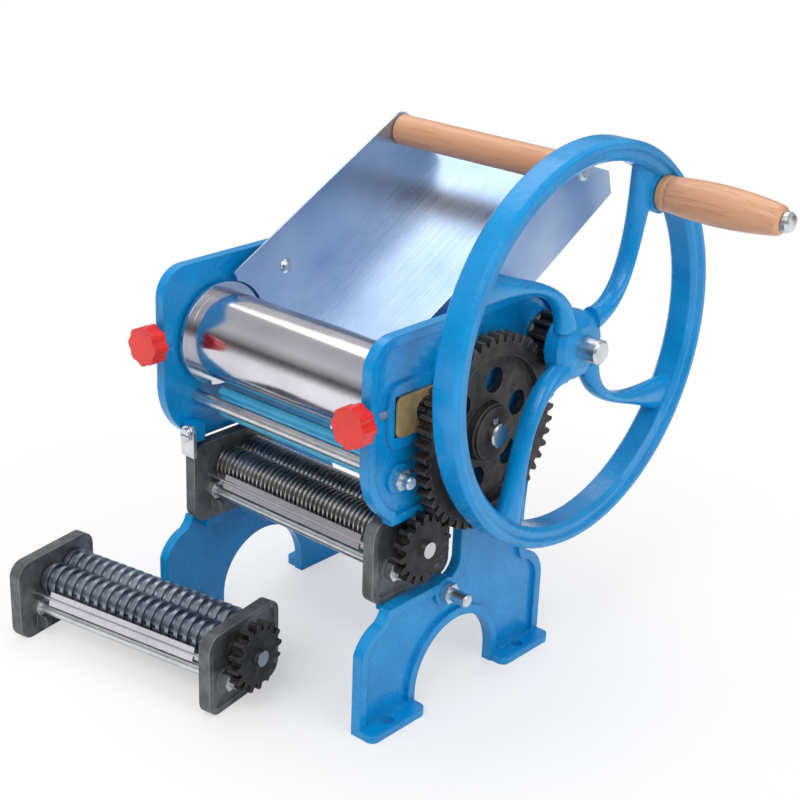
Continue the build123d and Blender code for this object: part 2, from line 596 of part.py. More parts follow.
def front_roller():
    """Polished roller with an end flange each side that keeps the dough on it."""
    outer = FLANGE_INNER_X + FLANGE_THICK
    shaft_end = FRAME_OUTER_X + SLIDING + BLOCK_PLATE
    return turned(FRONT_AXIS, [
        (ROLLER_SHAFT_LEFT_X, 0), (ROLLER_SHAFT_LEFT_X, SHAFT_R), (-outer, SHAFT_R),
        (-outer, FLANGE_R - 0.8), (0.8 - outer, FLANGE_R), (-FLANGE_INNER_X, FLANGE_R),
        (-FLANGE_INNER_X, ROLLER_R), (FLANGE_INNER_X, ROLLER_R), (FLANGE_INNER_X, FLANGE_R),
        (outer - 0.8, FLANGE_R), (outer, FLANGE_R - 0.8), (outer, SHAFT_R),
        (shaft_end, SHAFT_R), (shaft_end, 0)])


def rear_roller():
    """Polished roller that the main gear drives through a key."""
    half = REAR_ROLLER_HALF_X
    end = MAIN_HUB_END_X + MAIN_SHAFT_OUT
    roller = turned(REAR_AXIS, [
        (ROLLER_SHAFT_LEFT_X, 0), (ROLLER_SHAFT_LEFT_X, SHAFT_R), (-half, SHAFT_R),
        (-half, ROLLER_R), (half, ROLLER_R), (half, SHAFT_R), (end - 1, SHAFT_R),
        (end, SHAFT_R - 1), (end, 0)])
    return roller - main_key()


def main_key():
    """Square key between the main gear and the rear roller's shaft."""
    middle_z = REAR_AXIS[1] + SHAFT_R
    return block(MAIN_BACK_X + 1, MAIN_HUB_END_X, REAR_AXIS[0] - KEY_SIZE / 2,
                 REAR_AXIS[0] + KEY_SIZE / 2, middle_z - KEY_SIZE / 2, middle_z + KEY_SIZE / 2)


def roller_gear(centre, phase):
    outer = ROLLER_GEAR_BACK_X + ROLLER_GEAR_WIDTH
    return spur_gear(centre, ROLLER_GEAR_MODULE, ROLLER_GEAR_TEETH, phase, SHAFT_R,
                     -outer, -ROLLER_GEAR_BACK_X, ROLLER_BACKLASH)


def bearing_block():
    """Cast block that slides in the frame's window and carries the front roller's shaft."""
    middle_z = FRONT_AXIS[1]
    body = block(FRAME_INNER_X - SLIDING, FRAME_OUTER_X + SLIDING, BLOCK_FRONT_Y, BLOCK_BACK_Y,
                 middle_z - BLOCK_Z / 2, middle_z + BLOCK_Z / 2)
    body -= rod_x(FRONT_AXIS, SHAFT_R + RUNNING, FRAME_INNER_X - 2, FRAME_OUTER_X + 2)
    return body - rod_y(KNOB_X, KNOB_Z, KNOB_SCREW_R + RUNNING, BLOCK_FRONT_Y - 1,
                        BLOCK_FRONT_Y + KNOB_TIP)


def bearing_plate():
    """Bronze plate on the outer face of a bearing block, over the window's front gap too."""
    start = FRAME_OUTER_X + SLIDING
    plate = rounded_slab(BLOCK_FRONT_Y - BLOCK_PLATE_OVER, BLOCK_BACK_Y,
                         FRONT_AXIS[1] - BLOCK_Z / 2, FRONT_AXIS[1] + BLOCK_Z / 2,
                         BLOCK_PLATE_CORNER_R, start, start + BLOCK_PLATE)
    return plate - rod_x(FRONT_AXIS, SHAFT_R + RUNNING, start - 1, start + BLOCK_PLATE + 1)


def knob():
    """Knob with shallow lobes on the front end of the adjusting screw."""
    back = FRONT_Y - KNOB_STANDOFF
    front = back - KNOB_THICK
    lobe_r = KNOB_R * math.sin(math.pi / KNOB_LOBES) / 1.15
    outline = Circle(KNOB_WAIST_R)
    for lobe in range(KNOB_LOBES):
        turn = 360 / KNOB_LOBES * lobe
        outline += Pos(*polar((0, 0), KNOB_R - lobe_r, turn)) * Circle(lobe_r)
    plane = Plane(origin=(KNOB_X, front, KNOB_Z), x_dir=(1, 0, 0), z_dir=(0, 1, 0))
    body = extrude(plane * outline, amount=KNOB_THICK)
    return body - rod_y(KNOB_X, KNOB_Z, KNOB_SCREW_R, front + 3, back + 1)


def knob_screw():
    """Adjusting screw: it turns in the frame's front edge and in the bearing block."""
    front = FRONT_Y - KNOB_STANDOFF - KNOB_THICK + 3
    return rod_y(KNOB_X, KNOB_Z, KNOB_SCREW_R, front, BLOCK_FRONT_Y + KNOB_TIP - SLIDING)


# ---- gear train -----------------------------------------------------------------------------
def main_gear():
    """Cast gear with a raised rim and hub and six round holes in its web."""
    gear = spur_gear(REAR_AXIS, GEAR_MODULE, MAIN_TEETH, MAIN_PHASE, SHAFT_R,
                     MAIN_BACK_X, MAIN_FRONT_X)
    floor_x = MAIN_FRONT_X - MAIN_RECESS
    gear -= turned(REAR_AXIS, [(floor_x, MAIN_HUB_R), (floor_x, MAIN_RIM_R - 1),
                               (MAIN_FRONT_X + 1, MAIN_RIM_R), (MAIN_FRONT_X + 1, MAIN_HUB_R)])
    gear += turned(REAR_AXIS, [(floor_x, SHAFT_R), (floor_x, MAIN_HUB_R + 1),
                               (MAIN_HUB_END_X, MAIN_HUB_R - 1), (MAIN_HUB_END_X, SHAFT_R)])
    for hole in range(MAIN_HOLES):
        turn = MAIN_HOLE_ANGLE + hole * 360 / MAIN_HOLES
        centre = polar(REAR_AXIS, MAIN_HOLE_CIRCLE_R, turn)
        gear -= rod_x(centre, MAIN_HOLE_R, MAIN_BACK_X - 1, MAIN_FRONT_X + 1)
    return gear - main_key()


def drive_pinion():
    return spur_gear(WHEEL_AXIS, GEAR_MODULE, PINION_TEETH, PINION_PHASE, SHAFT_R,
                     MAIN_BACK_X, MAIN_BACK_X + PINION_WIDTH)


def drive_shaft():
    """Shaft of the hand wheel, from outside the left frame to in front of the wheel's hub."""
    left = -(FRAME_OUTER_X + WHEEL_SHAFT_LEFT)
    right = WHEEL_FRONT_X + WHEEL_SHAFT_OUT
    return turned(WHEEL_AXIS, [(left, 0), (left, SHAFT_R - 0.8), (left + 0.8, SHAFT_R),
                               (right - 1.2, SHAFT_R), (right, SHAFT_R - 1.2), (right, 0)])


# ---- hand wheel and handle ------------------------------------------------------------------
def wheel_spoke(turn):
    """One S-shaped spoke of oval section that widens where it meets the rim."""
    scale_to_rim = (WHEEL_R - WHEEL_RIM / 2) / SPOKE_DRAWN_R
    places = [(y * scale_to_rim, z * scale_to_rim) for y, z in SPOKE_LINE]
    path = Plane.YZ.offset(WHEEL_BACK_X + SPOKE_IN) * Spline(*places)
    sections = []
    for share, width in ((0, SPOKE_WIDE), (0.8, SPOKE_WIDE), (1, SPOKE_FLARE)):
        plane = Plane(origin=path @ share, x_dir=(1, 0, 0), z_dir=path % share)
        sections.append(plane * Ellipse(SPOKE_DEEP / 2, width / 2))
    return Rot(turn, 0, 0) * sweep(sections, path=path, multisection=True)


def hand_wheel():
    """Cast hand wheel: stepped rim, four curved spokes, hub, and a boss for the handle."""
    inner_r = WHEEL_R - WHEEL_RIM
    back, front = WHEEL_BACK_X, WHEEL_FRONT_X
    wheel = turned((0, 0), [
        (back + 2, inner_r), (back, inner_r + 2), (back, WHEEL_R - 3), (back + 3, WHEEL_R),
        (front - 3, WHEEL_R), (front, WHEEL_R - 2), (front, WHEEL_R - 5),
        (front - 2, WHEEL_R - 6.5), (front - 2, inner_r + 2.5), (front - 4.5, inner_r)])
    for spoke in range(SPOKES):
        wheel += wheel_spoke(spoke * 360 / SPOKES)
    hub_back, hub_front = back - WHEEL_HUB_BACK, front - WHEEL_HUB_IN
    wheel += turned((0, 0), [
        (hub_back, 0), (hub_back, WHEEL_HUB_R - 2), (hub_back + 2, WHEEL_HUB_R),
        (hub_front - 5, WHEEL_HUB_R), (hub_front - 1.5, WHEEL_HUB_R - 3),
        (hub_front, WHEEL_HUB_R - 8), (hub_front, 0)])
    boss = polar((0, 0), HANDLE_CIRCLE_R, HANDLE_ANGLE)
    wheel += rod_x(boss, HANDLE_BOSS_R, back + 1, HANDLE_SEAT_X)
    wheel -= rod_x(boss, GRIP_NECK_R + SLIDING, HANDLE_SEAT_X, front + 1)
    wheel -= rod_x(boss, HANDLE_BOLT_R, back - 1, front + 1)
    wheel -= rod_x((0, 0), SHAFT_R, hub_back - 1, front + 1)
    return Pos(0, *WHEEL_AXIS) * wheel


def handle_grip():
    """Turned wooden grip: a grooved neck, a belly, and a slimmer rounded end."""
    bore_r = HANDLE_BOLT_R + RUNNING
    start, end = GRIP_START_X, GRIP_END_X
    groove = start + 6
    outline = [
        Line((start, bore_r), (start, GRIP_NECK_R - 1)),
        Line((start, GRIP_NECK_R - 1), (start + 1, GRIP_NECK_R)),
        Line((start + 1, GRIP_NECK_R), (groove - 1.5, GRIP_NECK_R)),
        ThreePointArc((groove - 1.5, GRIP_NECK_R), (groove, GRIP_NECK_R - 1),
                      (groove + 1.5, GRIP_NECK_R)),
        ThreePointArc((groove + 1.5, GRIP_NECK_R), (start + GRIP_LENGTH * 0.45, GRIP_BELLY_R),
                      (end - 4, GRIP_END_R)),
        ThreePointArc((end - 4, GRIP_END_R), (end - 1.2, GRIP_END_R - 1.2),
                      (end, GRIP_END_R - 3)),
        Line((end, GRIP_END_R - 3), (end, bore_r)),
        Line((end, bore_r), (start, bore_r)),
    ]
    return Pos(0, *HANDLE_AXIS) * revolve(make_face(outline), axis=Axis.X)


def handle_bolt():
    """Bolt through the wheel's boss and the grip, with a flat head behind the wheel."""
    seat = WHEEL_BACK_X + 1
    end = GRIP_END_X + SLIDING + 4
    return turned(HANDLE_AXIS, [(seat - 3, 0), (seat - 3, 5), (seat, 5), (seat, HANDLE_BOLT_R),
                                (end, HANDLE_BOLT_R), (end, 0)])


def handle_nut():
    """Domed nut that keeps the grip on its bolt."""
    start = GRIP_END_X + SLIDING
    return turned(HANDLE_AXIS, [
        (start, HANDLE_BOLT_R), (start, DOME_NUT_R - 0.5), (start + 0.5, DOME_NUT_R),
        (start + 3, DOME_NUT_R), (start + 5, DOME_NUT_R * 0.8), (start + 6.2, DOME_NUT_R * 0.4),
        (start + 6.6, 0), (start + 4, 0), (start + 4, HANDLE_BOLT_R)])


# ---- latch ----------------------------------------------------------------------------------
def cutter_latch():
    """Turn button in front of the left end plate that keeps the cutter box in."""
    half = LATCH_WIDE / 2
    outline = [
        ThreePointArc((-half, 0), (0, half), (half, 0)),
        Line((half, 0), (half, -LATCH_TAIL)),
        Line((half, -LATCH_TAIL), (-half, -LATCH_TAIL)),
        Line((-half, -LATCH_TAIL), (-half, 0)),
    ]
    plane = Plane(origin=(LATCH_X, LATCH_Y, LATCH_Z), x_dir=(1, 0, 0), z_dir=(0, -1, 0))
    button = extrude(plane * make_face(outline), amount=LATCH_THICK)
    return button - rod_y(LATCH_X, LATCH_Z, LATCH_SCREW_R + RUNNING, LATCH_Y - 5, LATCH_Y + 1)


def latch_screw():
    seat = LATCH_Y - LATCH_THICK - SLIDING
    screw = rod_y(LATCH_X, LATCH_Z, LATCH_HEAD_R, seat - 2.2, seat)
    screw += rod_y(LATCH_X, LATCH_Z, LATCH_SCREW_R, seat, LATCH_Y + LATCH_LUG_DEEP - 2)
    return screw - block(LATCH_X - 5, LATCH_X + 5, seat - 3, seat - 1.2, LATCH_Z - 0.5,
                         LATCH_Z + 0.5)


# ---- cutter boxes ---------------------------------------------------------------------------
def end_plate():
    """Cast end plate of a cutter box with a raised rim on its outer face."""
    plate = rounded_slab(0, PLATE_LENGTH, 0, PLATE_HEIGHT, PLATE_CORNER_R,
                         PLATE_INNER_X, BOX_HALF_X)
    plate -= rounded_slab(PLATE_RIM, PLATE_LENGTH - PLATE_RIM, PLATE_RIM,
                          PLATE_HEIGHT - PLATE_RIM, PLATE_CORNER_R - PLATE_RIM,
                          BOX_HALF_X - PLATE_RECESS, BOX_HALF_X + 1)
    for centre in (CUT_FRONT, CUT_REAR, BOX_ROD, BOX_REAR_ROD):
        plate += rod_x(centre, CUT_BUSH_R + 1, PLATE_INNER_X, BOX_HALF_X)
    through = (PLATE_INNER_X - 1, BOX_HALF_X + 1)
    for centre in (CUT_FRONT, CUT_REAR):
        plate -= rod_x(centre, CUT_BUSH_R, *through)
    for centre in (BOX_ROD, BOX_REAR_ROD):
        plate -= rod_x(centre, BOX_ROD_R, *through)
    return plate - rod_x(BAR_CENTRE, BAR_PIN_R, PLATE_INNER_X - 1, PLATE_INNER_X + 4)


def left_end_plate():
    """The left end plate has a half-round ear inside, behind the front rod."""
    half = EAR_WIDE / 2
    ear_z = BOX_ROD[1] - BOX_NUT_FLATS / 2 - half - 1
    ear_y = BOX_ROD[0] - EAR_THICK / 2
    edge_x = -PLATE_INNER_X + half
    ear = block(-PLATE_INNER_X, edge_x, ear_y, ear_y + EAR_THICK, ear_z - half, ear_z + half)
    ear += rod_y(edge_x, ear_z, half, ear_y, ear_y + EAR_THICK)
    return mirror_x(end_plate()) + ear


def cutter_roller(centre, ridges, side, right_end):
    """Roller with turned ridges; side is +1 or -1 and sets it half a ridge from the other."""
    half = PLATE_INNER_X - 0.8
    pitch = 2 * half / ridges
    ridge = pitch / 2 - CUT_SIDE_CLEAR
    groove_r = CUT_ROLLER_R - CUT_GROOVE_DEPTH
    slope = 0.25
    points = [(-CUT_GEAR_OUT_X - 0.6, 0), (-CUT_GEAR_OUT_X - 0.6, CUT_SHAFT_R),
              (-half, CUT_SHAFT_R), (-half, groove_r)]
    for number in range(ridges):
        middle = -half + (number + 0.5 + side / 4) * pitch
        points += [(middle - ridge / 2, groove_r), (middle - ridge / 2 + slope, CUT_ROLLER_R),
                   (middle + ridge / 2 - slope, CUT_ROLLER_R), (middle + ridge / 2, groove_r)]
    points += [(half, groove_r), (half, CUT_SHAFT_R), (right_end, CUT_SHAFT_R), (right_end, 0)]
    return turned(centre, points)


def cutter_gear(centre, phase):
    """Small gear outside the left end plate that couples the two cutter rollers."""
    return spur_gear(centre, CUT_GEAR_MODULE, CUT_GEAR_TEETH, phase, CUT_SHAFT_R,
                     -CUT_GEAR_OUT_X, -BOX_HALF_X - CUT_GEAR_GAP)


def cutter_drive_gear():
    """Gear outside the right-hand frame, with a hub that reaches back to the end plate."""
    gear = spur_gear(CUT_FRONT, GEAR_MODULE, CUTTER_TEETH, CUTTER_PHASE, CUT_SHAFT_R,
                     CUTTER_GEAR_BACK_X, CUTTER_GEAR_BACK_X + CUTTER_GEAR_WIDTH)
    start = BOX_HALF_X + CUT_GEAR_GAP
    return gear + turned(CUT_FRONT, [(start, CUT_SHAFT_R), (start, CUTTER_HUB_R),
                                     (CUTTER_GEAR_BACK_X + 1, CUTTER_HUB_R),
                                     (CUTTER_GEAR_BACK_X + 1, CUT_SHAFT_R)])


def cutter_bushes():
    bushes = []
    for centre in (CUT_FRONT, CUT_REAR):
        bush = turned(centre, [
            (PLATE_INNER_X, CUT_SHAFT_R + RUNNING), (PLATE_INNER_X, CUT_BUSH_R),
            (BOX_HALF_X, CUT_BUSH_R), (BOX_HALF_X, CUT_SHAFT_R + RUNNING)])
        bushes += [bush, mirror_x(bush)]
    return Compound(children=bushes)


def cutter_rods():
    """The front rod stands out at its right end; the rear one ends flush with the plates."""
    front_end = BOX_HALF_X + BOX_NUT + BOX_ROD_OUT
    front = rod_x(BOX_ROD, BOX_ROD_R, -BOX_HALF_X, front_end)
    rear = rod_x(BOX_REAR_ROD, BOX_ROD_R, -BOX_HALF_X, BOX_HALF_X)
    return Compound(children=[front, rear])


def cutter_nuts():
    """Nuts of the front rod: outside the right end plate and inside the left one."""
    right = nut_x(BOX_ROD, BOX_NUT_FLATS, BOX_ROD_R, BOX_HALF_X, BOX_HALF_X + BOX_NUT)
    left = nut_x(BOX_ROD, BOX_NUT_FLATS, BOX_ROD_R, -PLATE_INNER_X, -PLATE_INNER_X + BOX_NUT)
    return Compound(children=[right, left])


def cutter_bar():
    """Flat bright bar in front of the front roller, with a pin into each end plate."""
    half = PLATE_INNER_X - BAR_END_GAP
    bar = Rot(BAR_TILT, 0, 0) * Box(2 * half, BAR_THICK, BAR_WIDE)
    bar = Pos(0, *BAR_CENTRE) * bar
    end = PLATE_INNER_X + 4
    return bar + rod_x(BAR_CENTRE, BAR_PIN_R, -end, end)


def cutter_box(name, ridges):
    """All pieces of one cutter box, by node name."""
    drive_end = CUTTER_GEAR_BACK_X + CUTTER_GEAR_WIDTH + 3
    pieces = {
        "left_plate": left_end_plate(),
        "right_plate": end_plate(),
        "front_roller": cutter_roller(CUT_FRONT, ridges, 1, drive_end),
        "rear_roller": cutter_roller(CUT_REAR, ridges, -1, BOX_HALF_X),
        "drive_gear": cutter_drive_gear(),
        "front_gear": cutter_gear(CUT_FRONT, 0.0),
        "rear_gear": cutter_gear(CUT_REAR, CUT_PHASE),
        "bushes": cutter_bushes(),
        "rods": cutter_rods(),
        "nuts": cutter_nuts(),
        "bar": cutter_bar(),
    }
    return {name + "_" + piece: shape for piece, shape in pieces.items()}


def machine():
    """Every piece of the machine itself, by node name."""
    return {
        "right_side_frame": frame_casting(),
        "left_side_frame": left_side_frame(),
        "frame_bushes": frame_bushes(),
        "upper_tie_rod": tie_rod(UPPER_ROD, UPPER_ROD_OUT),
        "lower_tie_rod": tie_rod(LOWER_ROD, LOWER_ROD_OUT),
        "tie_rod_nuts": tie_rod_nuts(),
        "scraper_plate": scraper_plate(),
        "feed_tray": feed_tray(),
        "tray_screws": tray_screws(),
        "tray_roller": tray_roller(),
        "tray_roller_pins": tray_roller_pins(),
        "front_roller": front_roller(),
        "front_roller_gear": roller_gear(FRONT_AXIS, ROLLER_PHASE),
        "rear_roller": rear_roller(),
        "rear_roller_gear": roller_gear(REAR_AXIS, 0.0),
        "main_gear": main_gear(),
        "main_key": main_key(),
        "right_bearing_block": bearing_block(),
        "left_bearing_block": mirror_x(bearing_block()),
        "bearing_plates": both_sides(bearing_plate()),
        "right_knob": knob(),
        "left_knob": mirror_x(knob()),
        "right_knob_screw": knob_screw(),
        "left_knob_screw": mirror_x(knob_screw()),
        "drive_shaft": drive_shaft(),
        "drive_pinion": drive_pinion(),
        "hand_wheel": hand_wheel(),
        "handle_bolt": handle_bolt(),
        "handle_grip": handle_grip(),
        "handle_nut": handle_nut(),
        "cutter_latch": cutter_latch(),
        "latch_screw": latch_screw(),
    }


def main():
    nodes = machine()
    for name, shape in cutter_box("fine", FINE_RIDGES).items():
        nodes[name] = Pos(0, *BOX_CORNER) * shape
    spare_place = Pos(*SPARE_AT, 0) * Rot(0, 0, SPARE_TURN)
    for name, shape in cutter_box("wide", COARSE_RIDGES).items():
        nodes[name] = spare_place * shape
    os.makedirs("parts", exist_ok=True)
    for name, shape in nodes.items():
        export_step(shape, os.path.join("parts", name + ".step"))
    print(len(nodes), "nodes")


main()
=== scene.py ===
import bpy
import json
import math
from collections import namedtuple
from mathutils import Matrix, Vector

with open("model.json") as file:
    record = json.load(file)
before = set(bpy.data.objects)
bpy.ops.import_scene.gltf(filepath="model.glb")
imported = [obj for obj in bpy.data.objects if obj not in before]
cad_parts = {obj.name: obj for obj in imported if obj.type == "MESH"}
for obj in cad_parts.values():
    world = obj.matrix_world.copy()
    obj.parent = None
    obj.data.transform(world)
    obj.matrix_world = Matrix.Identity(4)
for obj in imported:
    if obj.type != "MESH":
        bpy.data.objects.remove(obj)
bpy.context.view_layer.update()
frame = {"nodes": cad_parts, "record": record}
nodes = frame["nodes"]


# ---- colours --------------------------------------------------------------------------------
def linear(red, green, blue):
    """An 8-bit screen colour as a linear RGBA."""
    return tuple((channel / 255) ** 2.2 for channel in (red, green, blue)) + (1.0,)


def grey(level):
    """A linear grey as RGBA."""
    return (level, level, level, 1)


# ---- settings, in metres, degrees and watts -------------------------------------------------
WHITE, BLACK = grey(1), grey(0)

NOISE_LOW, NOISE_HIGH = 0.3, 0.7      # the span that a noise fills most of the time
BEVEL_SAMPLES = 4
WORN_START, WORN_FULL = 0.01, 0.12    # wear grows as the rounded normal's cosine drops by these
PORE_STRENGTH = 0.6

FLOOR_SIZE = 14
FLOOR_GREY = 0.96
FADE_START, FADE_END = 0.02, 0.42     # the floor turns white between these distances
FADE_LEAST = 0.35                     # share of white in the middle

ROOM_STRENGTH = 0.62
ROOM_BLUE = 1.02
# Brightness of the room by height: the sine of the angle above the horizon, and the level.
ROOM_LEVELS = ((0.0, 0.5), (0.06, 0.3), (0.16, 0.12), (0.3, 0.55), (0.5, 1.0), (0.8, 0.75))

CAMERA_PLACE = (0.634524, -0.689161, 0.553366)
CAMERA_TURN, CAMERA_TILT, CAMERA_ROLL = 40.88, 22.47, 2.18   # round from the front, down, rolled
CAMERA_LENS_MM = 74.15
CAMERA_SENSOR_MM = 36.0
CAMERA_CLIP_START = 0.01

# One layer of a surface's relief: where it rises, how strongly, and how deep it is.
Relief = namedtuple("Relief", "height strength depth")


# ---- node trees -----------------------------------------------------------------------------
class Nodes:
    """A node tree being built: short calls that the materials, floor and sky share."""

    def __init__(self, tree):
        self.tree = tree

    def add(self, kind, inputs=None, **settings):
        """A new node, with the values of its inputs and its other settings."""
        node = self.tree.nodes.new(kind)
        for key, value in settings.items():
            setattr(node, key, value)
        for socket, value in (inputs or {}).items():
            node.inputs[socket].default_value = value
        return node

    def link(self, output, target):
        self.tree.links.new(output, target)

    def feed(self, node, *outputs):
        """Links the outputs to the node's first inputs, in order."""
        for output, socket in zip(outputs, node.inputs):
            self.link(output, socket)

    def ramp(self, factor, *stops):
        """A colour ramp over a factor, from (position, colour) stops."""
        ramp = self.add("ShaderNodeValToRGB")
        elements = ramp.color_ramp.elements
        while len(elements) < len(stops):
            elements.new(0.5)
        for element, (position, colour) in zip(elements, stops):
            element.position = position
            element.color = colour
        self.link(factor, ramp.inputs["Fac"])
        return ramp.outputs["Color"]

    def camera_ray(self):
        """1 where the camera looks at the surface itself, 0 where light or a reflection does."""
        return self.add("ShaderNodeLightPath").outputs["Is Camera Ray"]

    def mix_shaders(self, factor, first, second):
        """The first shader at factor 0, the second at 1."""
        mix = self.add("ShaderNodeMixShader")
        self.feed(mix, factor, first, second)
        return mix.outputs["Shader"]


class Shader(Nodes):
    """A material being built on the standard surface, whose sockets are set by name."""

    def __init__(self, name, **values):
        self.material = bpy.data.materials.new(name)
        self.material.use_nodes = True
        super().__init__(self.material.node_tree)
        self.surface = self.tree.nodes["Principled BSDF"]
        for socket, value in values.items():
            self.surface.inputs[socket.replace("_", " ")].default_value = value
        self.place = self.add("ShaderNodeTexCoord").outputs["Object"]

    def noise(self, scale, detail, stretch=(1, 1, 1), rough=0.55):
        """Noise over the piece's own coordinates, each first multiplied by its stretch."""
        mapping = self.add("ShaderNodeMapping", {"Scale": stretch})
        self.link(self.place, mapping.inputs["Vector"])
        values = {"Scale": scale, "Detail": detail, "Roughness": rough}
        noise = self.add("ShaderNodeTexNoise", values)
        self.link(mapping.outputs["Vector"], noise.inputs["Vector"])
        return noise.outputs["Fac"]

    def mix(self, factor, first, second):
        """The first colour at factor 0, the second at 1. Each is a colour or an output."""
        mix = self.add("ShaderNodeMix", data_type="RGBA")
        self.link(factor, mix.inputs["Factor"])
        colours = [socket for socket in mix.inputs if socket.type == "RGBA"]
        for value, socket in zip((first, second), colours):
            if isinstance(value, tuple):
                socket.default_value = value
            else:
                self.link(value, socket)
        return next(socket for socket in mix.outputs if socket.type == "RGBA")

    def rounded_normal(self, radius):
        """The surface's normal, turned near an edge as if the edge were rounded."""
        bevel = self.add("ShaderNodeBevel", {"Radius": radius}, samples=BEVEL_SAMPLES)
        return bevel.outputs["Normal"]

    def worn_edges(self, radius):
        """A mask that is white on worn edges."""
        geometry = self.add("ShaderNodeNewGeometry")
        dot = self.add("ShaderNodeVectorMath", operation="DOT_PRODUCT")
        self.feed(dot, self.rounded_normal(radius), geometry.outputs["Normal"])
        return self.ramp(dot.outputs["Value"], (1 - WORN_FULL, WHITE), (1 - WORN_START, BLACK))

    def colour(self, output):
        self.link(output, self.surface.inputs["Base Color"])

    def roughness(self, factor, low, high):
        """Spreads the roughness from low to high over a noise."""
        ramp = self.ramp(factor, (NOISE_LOW, grey(low)), (NOISE_HIGH, grey(high)))
        self.link(ramp, self.surface.inputs["Roughness"])

    def bump(self, *reliefs, radius=0.0):
        """Lays the reliefs over one another, on edges rounded to that radius if there is one."""
        normal = self.rounded_normal(radius) if radius else None
        for relief in reliefs:
            values = {"Strength": relief.strength, "Distance": relief.depth}
            bump = self.add("ShaderNodeBump", values)
            self.link(relief.height, bump.inputs["Height"])
            if normal is not None:
                self.link(normal, bump.inputs["Normal"])
            normal = bump.outputs["Normal"]
        self.link(normal, self.surface.inputs["Normal"])


# ---- materials ------------------------------------------------------------------------------
def hammered_paint(name, light, dark):
    """Glossy hammered paint over cast iron: soft dimples and slightly uneven colour."""
    shader = Shader(name, Coat_Weight=0.35, Coat_Roughness=0.12, Specular_IOR_Level=0.3)
    shader.colour(shader.ramp(shader.noise(scale=38, detail=3), (0.35, dark), (0.65, light)))
    shader.roughness(shader.noise(scale=90, detail=4), low=0.22, high=0.34)
    shader.bump(Relief(shader.noise(scale=210, detail=2), strength=0.42, depth=0.001),
                Relief(shader.noise(scale=40, detail=2), strength=0.25, depth=0.0018),
                radius=0.0018)
    return shader.material


def cast_metal(name, dark, light, worn, metallic=0.55):
    """Bare casting: mottled colour, a grainy skin, and brighter worn edges."""
    shader = Shader(name, Metallic=metallic)
    mottled = shader.ramp(shader.noise(scale=110, detail=6, rough=0.65), (0.35, dark), (0.68, light))
    shader.colour(shader.mix(shader.worn_edges(radius=0.0006), mottled, worn))
    shader.roughness(shader.noise(scale=160, detail=5), low=0.35, high=0.6)
    shader.bump(Relief(shader.noise(scale=900, detail=4), strength=0.35, depth=0.0004),
                Relief(shader.noise(scale=130, detail=3), strength=0.3, depth=0.0012),
                radius=0.0005)
    return shader.material


def turned_steel(name, light, dark, low=0.1, high=0.2, ring_scale=900):
    """Polished or turned steel: fine rings round the X axis and faint cloudy marks."""
    shader = Shader(name, Metallic=1.0)
    clouds = shader.noise(scale=16, detail=4)
    shader.colour(shader.ramp(clouds, (NOISE_LOW, dark), (NOISE_HIGH, light)))
    rings = shader.noise(scale=ring_scale, detail=3, stretch=(1, 0.012, 0.012))
    shader.roughness(rings, low, high)
    shader.bump(Relief(rings, strength=0.07, depth=0.0002), radius=0.0004)
    return shader.material


def zinc_plating(name, light, dark):
    """Bright zinc plating, slightly uneven in colour and gloss."""
    shader = Shader(name, Metallic=1.0)
    shader.colour(shader.ramp(shader.noise(scale=120, detail=3), (NOISE_LOW, dark), (NOISE_HIGH, light)))
    shader.roughness(shader.noise(scale=300, detail=3), low=0.26, high=0.38)
    shader.bump(Relief(shader.noise(scale=350, detail=2), strength=0.03, depth=0.0002), radius=0.0005)
    return shader.material


def tray_sheet(name, light, dark):
    """Rolled bright sheet: long faint brush lines down the slope and soft cloudy patches, over a blue
    tint that is a painted reflection.
    """
    shader = Shader(name, Metallic=0.92)
    clouds = shader.noise(scale=9, detail=4)
    shader.colour(shader.ramp(clouds, (0.3, dark), (0.72, light)))
    lines = shader.noise(scale=700, detail=3, stretch=(1, 0.01, 0.02))
    shader.roughness(lines, low=0.24, high=0.36)
    shader.bump(Relief(lines, strength=0.05, depth=0.0002),
                Relief(clouds, strength=0.06, depth=0.004))
    return shader.material


def turned_wood(name, light, middle, dark, pore):
    """Plain pale wood turned along X, with long grain streaks, pores and a satin lacquer."""
    shader = Shader(name, Coat_Weight=0.35, Coat_Roughness=0.18)
    grain = shader.noise(scale=26, detail=6, stretch=(0.12, 1, 1), rough=0.6)
    streaks = shader.ramp(grain, (0.3, dark), (0.5, middle), (0.72, light))
    specks = shader.noise(scale=620, detail=3, stretch=(0.03, 1, 1))
    pores = shader.ramp(specks, (0.34, grey(PORE_STRENGTH)), (0.42, BLACK))
    shader.colour(shader.mix(pores, streaks, pore))
    shader.roughness(grain, low=0.34, high=0.5)
    shader.bump(Relief(pores, strength=0.1, depth=0.0002),
                Relief(grain, strength=0.08, depth=0.0006),
                radius=0.0006)
    return shader.material


def moulded_plastic(name, light, dark):
    """Glossy moulded plastic that lets a little light in."""
    shader = Shader(name, Coat_Weight=0.3, Coat_Roughness=0.1,
                    Subsurface_Weight=0.06, Subsurface_Radius=(0.004, 0.001, 0.0005))
    shader.colour(shader.ramp(shader.noise(scale=60, detail=3), (NOISE_LOW, dark), (NOISE_HIGH, light)))
    shader.roughness(shader.noise(scale=200, detail=4), low=0.25, high=0.4)
    shader.bump(Relief(shader.noise(scale=380, detail=3), strength=0.08, depth=0.0004), radius=0.0011)
    return shader.material


